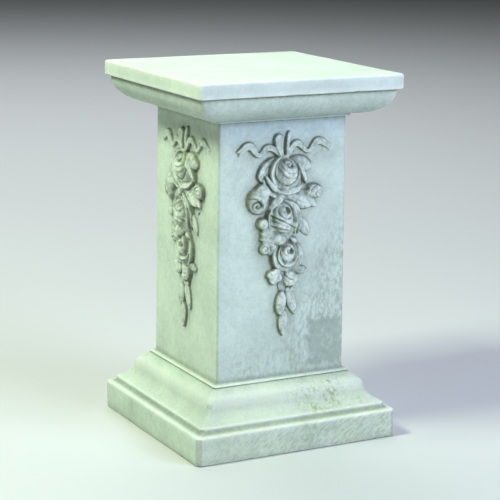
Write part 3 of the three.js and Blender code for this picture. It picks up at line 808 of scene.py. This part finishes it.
# weather on the front: a square grey stain low on the right, a smudge under a ribbon, mottling, specks
# on the ogee, streaks on the plinth, a painted bluish shadow under the cap, a warm base, and grime round
# every foot
def weatherAndShadowGroup():
    w = frontWeatherAndShadow
    outputs = dict(Float=["Stain", "Green", "Cool", "Warm"])
    tree, given, result = newGroup("frontWeatherAndShadow", dict(Vector=["Place"]), outputs)
    place = given["Place"]
    x, y, z = addNode(tree, "SeparateXYZ", {0: place}).outputs
    front = stepped(tree, plus(tree, y, maths(tree, "ABSOLUTE", x)), w["seam"], -w["seam"])
    rough = noise(tree, place, 34.0, 6.0, 0.68, 0.6)
    uneven = stepped(tree, rough, 0.35, 0.65)
    # the square stain, and the smudge under a ribbon
    square = times(tree, between(tree, x, *w["squareAcross"]), between(tree, z, *w["squareUp"]))
    square = times(tree, square, scaled(tree, stepped(tree, rough, 0.3, 0.6), 0.35, 0.65))
    smudge = times(tree, between(tree, x, *w["smudgeAcross"]), between(tree, z, *w["smudgeUp"]))
    square = plus(tree, square, times(tree, smudge, w["smudgeShare"]))
    # mottling of runs and rough patches, along the right and at the die's foot
    runPlace = addNode(tree, "Mapping", {"Vector": place, "Scale": w["runScale"]}).outputs[0]
    runs = stepped(tree, noise(tree, runPlace, 1.0, 5.0, 0.7), 0.45, 0.6)
    slant = maths(tree, "SUBTRACT", x, times(tree, z, w["sideSlant"]))
    side = times(tree, stepped(tree, slant, *w["sideEdge"]), between(tree, z, *w["sideUp"]))
    foot = times(tree, between(tree, x, *w["footAcross"]), stepped(tree, z, *w["footTop"]))
    foot = times(tree, foot, w["footShare"])
    mottled = plus(tree, times(tree, runs, 0.7), times(tree, stepped(tree, rough, 0.42, 0.64), 0.4))
    cloudy = times(tree, maths(tree, "MAXIMUM", side, foot), mottled)
    cloudy = times(tree, cloudy, stepped(tree, z, *w["dieFoot"]))
    # streaks on the plinth
    turned = {"Vector": place, "Rotation": w["streakTurn"], "Scale": w["streakSize"]}
    streakPlace = addNode(tree, "Mapping", turned, vector_type="TEXTURE").outputs[0]
    streaks = stepped(tree, noise(tree, streakPlace, 1.0, 5.0, 0.66), 0.47, 0.61)
    streaks = times(tree, streaks, stepped(tree, x, *w["streakLeft"]))
    streaks = times(tree, streaks, stepped(tree, z, *w["streakTop"]))
    # clustered specks on the ogee
    patches = stepped(tree, noise(tree, place, 42.0, 5.0, 0.6), 0.47, 0.62)
    specks = stepped(tree, noise(tree, place, 110.0, 8.0, 0.85), 0.48, 0.57)
    specks = times(tree, specks, scaled(tree, patches, 0.85, 0.3))
    specks = times(tree, specks, between(tree, x, *w["speckAcross"]))
    specks = times(tree, specks, between(tree, z, *w["speckUp"]))
    # what goes into each tint
    stain = plus(tree, square, times(tree, streaks, 0.75))
    stain = plus(tree, stain, times(tree, cloudy, 0.85), True)
    green = plus(tree, specks, times(tree, cloudy, 0.2))
    grime = stepped(tree, noise(tree, place, 17.0, 7.0, 0.7, 0.5), 0.52, 0.76)
    grime = times(tree, grime, stepped(tree, z, *w["grimeTop"]))
    green = plus(tree, times(tree, green, front), times(tree, grime, 0.48), True)
    # painted bluish shadow under the cap on the front
    capShadow = times(tree, between(tree, z, *w["capShadowUp"]), scaled(tree, uneven, 0.4, 0.6))
    warm = times(tree, front, stepped(tree, z, *w["warmTop"]))
    tree.links.new(times(tree, warm, scaled(tree, uneven, 0.5, 0.5)), result["Warm"])
    tree.links.new(times(tree, capShadow, front, True), result["Cool"])
    tree.links.new(times(tree, stain, front, True), result["Stain"])
    tree.links.new(green, result["Green"])
    return tree


# stone colours: the dark tint for hollows is wash and painted shade, the pale tint for edges is wear and
# painted highlight, and the bluish tint is a painted shadow under the cap
castStone = dict(
    lime=(0.745, 0.855, 0.73, 1), shade=(0.55, 0.632, 0.54, 1),
    washShadeTint=(0.168, 0.188, 0.132, 1), wornHighlightTint=(0.95, 0.97, 0.9, 1),
    stainTint=(0.66, 0.675, 0.66, 1), greenTint=(0.56, 0.61, 0.46, 1),
    coolTint=(0.73, 0.785, 1, 1), warmTint=(1, 0.965, 0.87, 1),
    roughness=0.86, specular=0.25, pitStrength=0.35, pitDepth=0.0007,
)


# the pedestal's one finish: grain, lime, wash with painted shade and wear with painted highlights by the
# piece's own masks, then weather and a painted shadow under the cap as tints over it
def stoneMaterial():
    s = castStone
    material = bpy.data.materials.new("limewashedCastStone")
    material.use_nodes = True
    tree = material.node_tree
    shader = tree.nodes["Principled BSDF"]
    shader.inputs["Roughness"].default_value = s["roughness"]
    shader.inputs["Specular IOR Level"].default_value = s["specular"]
    place = addNode(tree, "TexCoord").outputs["Object"]
    grain = addNode(tree, "Group", {"Place": place}, node_tree=grainGroup()).outputs
    washAndShade, wornAndHighlit = (addNode(tree, "Attribute", attribute_name=key).outputs["Fac"] for key in ("washAndShade", "wornAndHighlit"))
    tints = {"Lime": s["lime"], "Shade": s["shade"], "Wash Shade Tint": s["washShadeTint"], "Worn Highlight Tint": s["wornHighlightTint"]}
    masks = {key: grain[key] for key in ("Mottle", "Fleck", "Speck")}
    masks.update({"WashAndShade": washAndShade, "WornAndHighlit": wornAndHighlit})
    finish = addNode(tree, "Group", {**tints, **masks}, node_tree=finishGroup())
    weatherAndShadow = addNode(tree, "Group", {"Place": place}, node_tree=weatherAndShadowGroup()).outputs
    colour = finish.outputs["Color"]
    for key in ("Stain", "Green", "Cool", "Warm"):
        colour = mixed(tree, weatherAndShadow[key], colour, s[key.lower() + "Tint"], "MULTIPLY")
    tree.links.new(colour, shader.inputs["Base Color"])
    pitted = {"Strength": s["pitStrength"], "Distance": s["pitDepth"], "Height": grain["Pits"]}
    bump = addNode(tree, "Bump", pitted)
    tree.links.new(bump.outputs[0], shader.inputs["Normal"])
    return material


stone = stoneMaterial()
makeBody(stone)
makeDrops(stone)


studio = dict(
    floorSize=30.0, floorColour=(0.71, 0.71, 0.7, 1), floorRoughness=0.9,
    worldColour=(0.9, 1.0, 0.98, 1), worldStrength=0.01,
    lights=[
        dict(name="keySoftbox", at=(-1.9, -0.15, 2.73), aim=(0, 0, 0.33), size=0.75,
             watts=83, colour=(0.85, 1.0, 0.76)),
        dict(name="frontSoftbox", at=(1.5, -2.8, 1.65), aim=(0, 0, 0.33), size=2.0,
             watts=107, colour=(0.65, 0.735, 1.0)),
        dict(name="backSoftbox", at=(0.5, 3.4, 4.2), aim=(0.4, 3.0, 0), size=4.0,
             watts=170, colour=(0.90, 0.95, 1.0)),
    ],
)


def makeStudio():
    r = studio["floorSize"] / 2
    mesh = bpy.data.meshes.new("studioFloor")
    mesh.from_pydata([(-r, -r, 0), (r, -r, 0), (r, r, 0), (-r, r, 0)], [], [(0, 1, 2, 3)])
    floor = newObject("studioFloor", mesh)
    pale = bpy.data.materials.new("paleFloor")
    pale.use_nodes = True
    shader = pale.node_tree.nodes["Principled BSDF"]
    shader.inputs["Base Color"].default_value = studio["floorColour"]
    shader.inputs["Roughness"].default_value = studio["floorRoughness"]
    mesh.materials.append(pale)
    world = bpy.data.worlds.new("softRoom")
    world.use_nodes = True
    background = world.node_tree.nodes["Background"]
    background.inputs["Color"].default_value = studio["worldColour"]
    background.inputs["Strength"].default_value = studio["worldStrength"]
    bpy.context.scene.world = world
    for lamp in studio["lights"]:
        light = bpy.data.lights.new(lamp["name"], "AREA")
        light.energy, light.size, light.color = lamp["watts"], lamp["size"], lamp["colour"]
        holder = newObject(lamp["name"], light)
        holder.location = lamp["at"]
        holder.rotation_euler = (Vector(lamp["aim"]) - Vector(lamp["at"])).to_track_quat("-Z", "Y").to_euler()
    bpy.context.scene.view_settings.view_transform = "Standard"


# camera of the picture: place in metres, turns in radians and focal length in pixels of the 500 wide frame
camera = dict(
    at=(-1.35553, -2.56113, 0.94300), yaw=0.487648, pitch=0.218314, roll=0.012059,
    focal=1761.13, frame=500, sensor=36,
)


def makeCamera():
    c = camera
    level = np.array([np.sin(c["yaw"]), np.cos(c["yaw"]), 0])
    forward = level * np.cos(c["pitch"]) - np.array([0, 0, np.sin(c["pitch"])])
    right = np.array([np.cos(c["yaw"]), -np.sin(c["yaw"]), 0])
    up = np.cross(right, forward)
    across = right * np.cos(c["roll"]) + up * np.sin(c["roll"])
    upright = up * np.cos(c["roll"]) - right * np.sin(c["roll"])
    lens = bpy.data.cameras.new("photoCamera")
    lens.sensor_width, lens.lens = c["sensor"], c["sensor"] * c["focal"] / c["frame"]
    holder = newObject("photoCamera", lens)
    turn = Matrix(np.stack([across, upright, -forward], axis=1).tolist()).to_4x4()
    holder.matrix_world = Matrix.Translation(c["at"]) @ turn
    bpy.context.scene.camera = holder


makeStudio()
makeCamera()
print("studio and camera set")
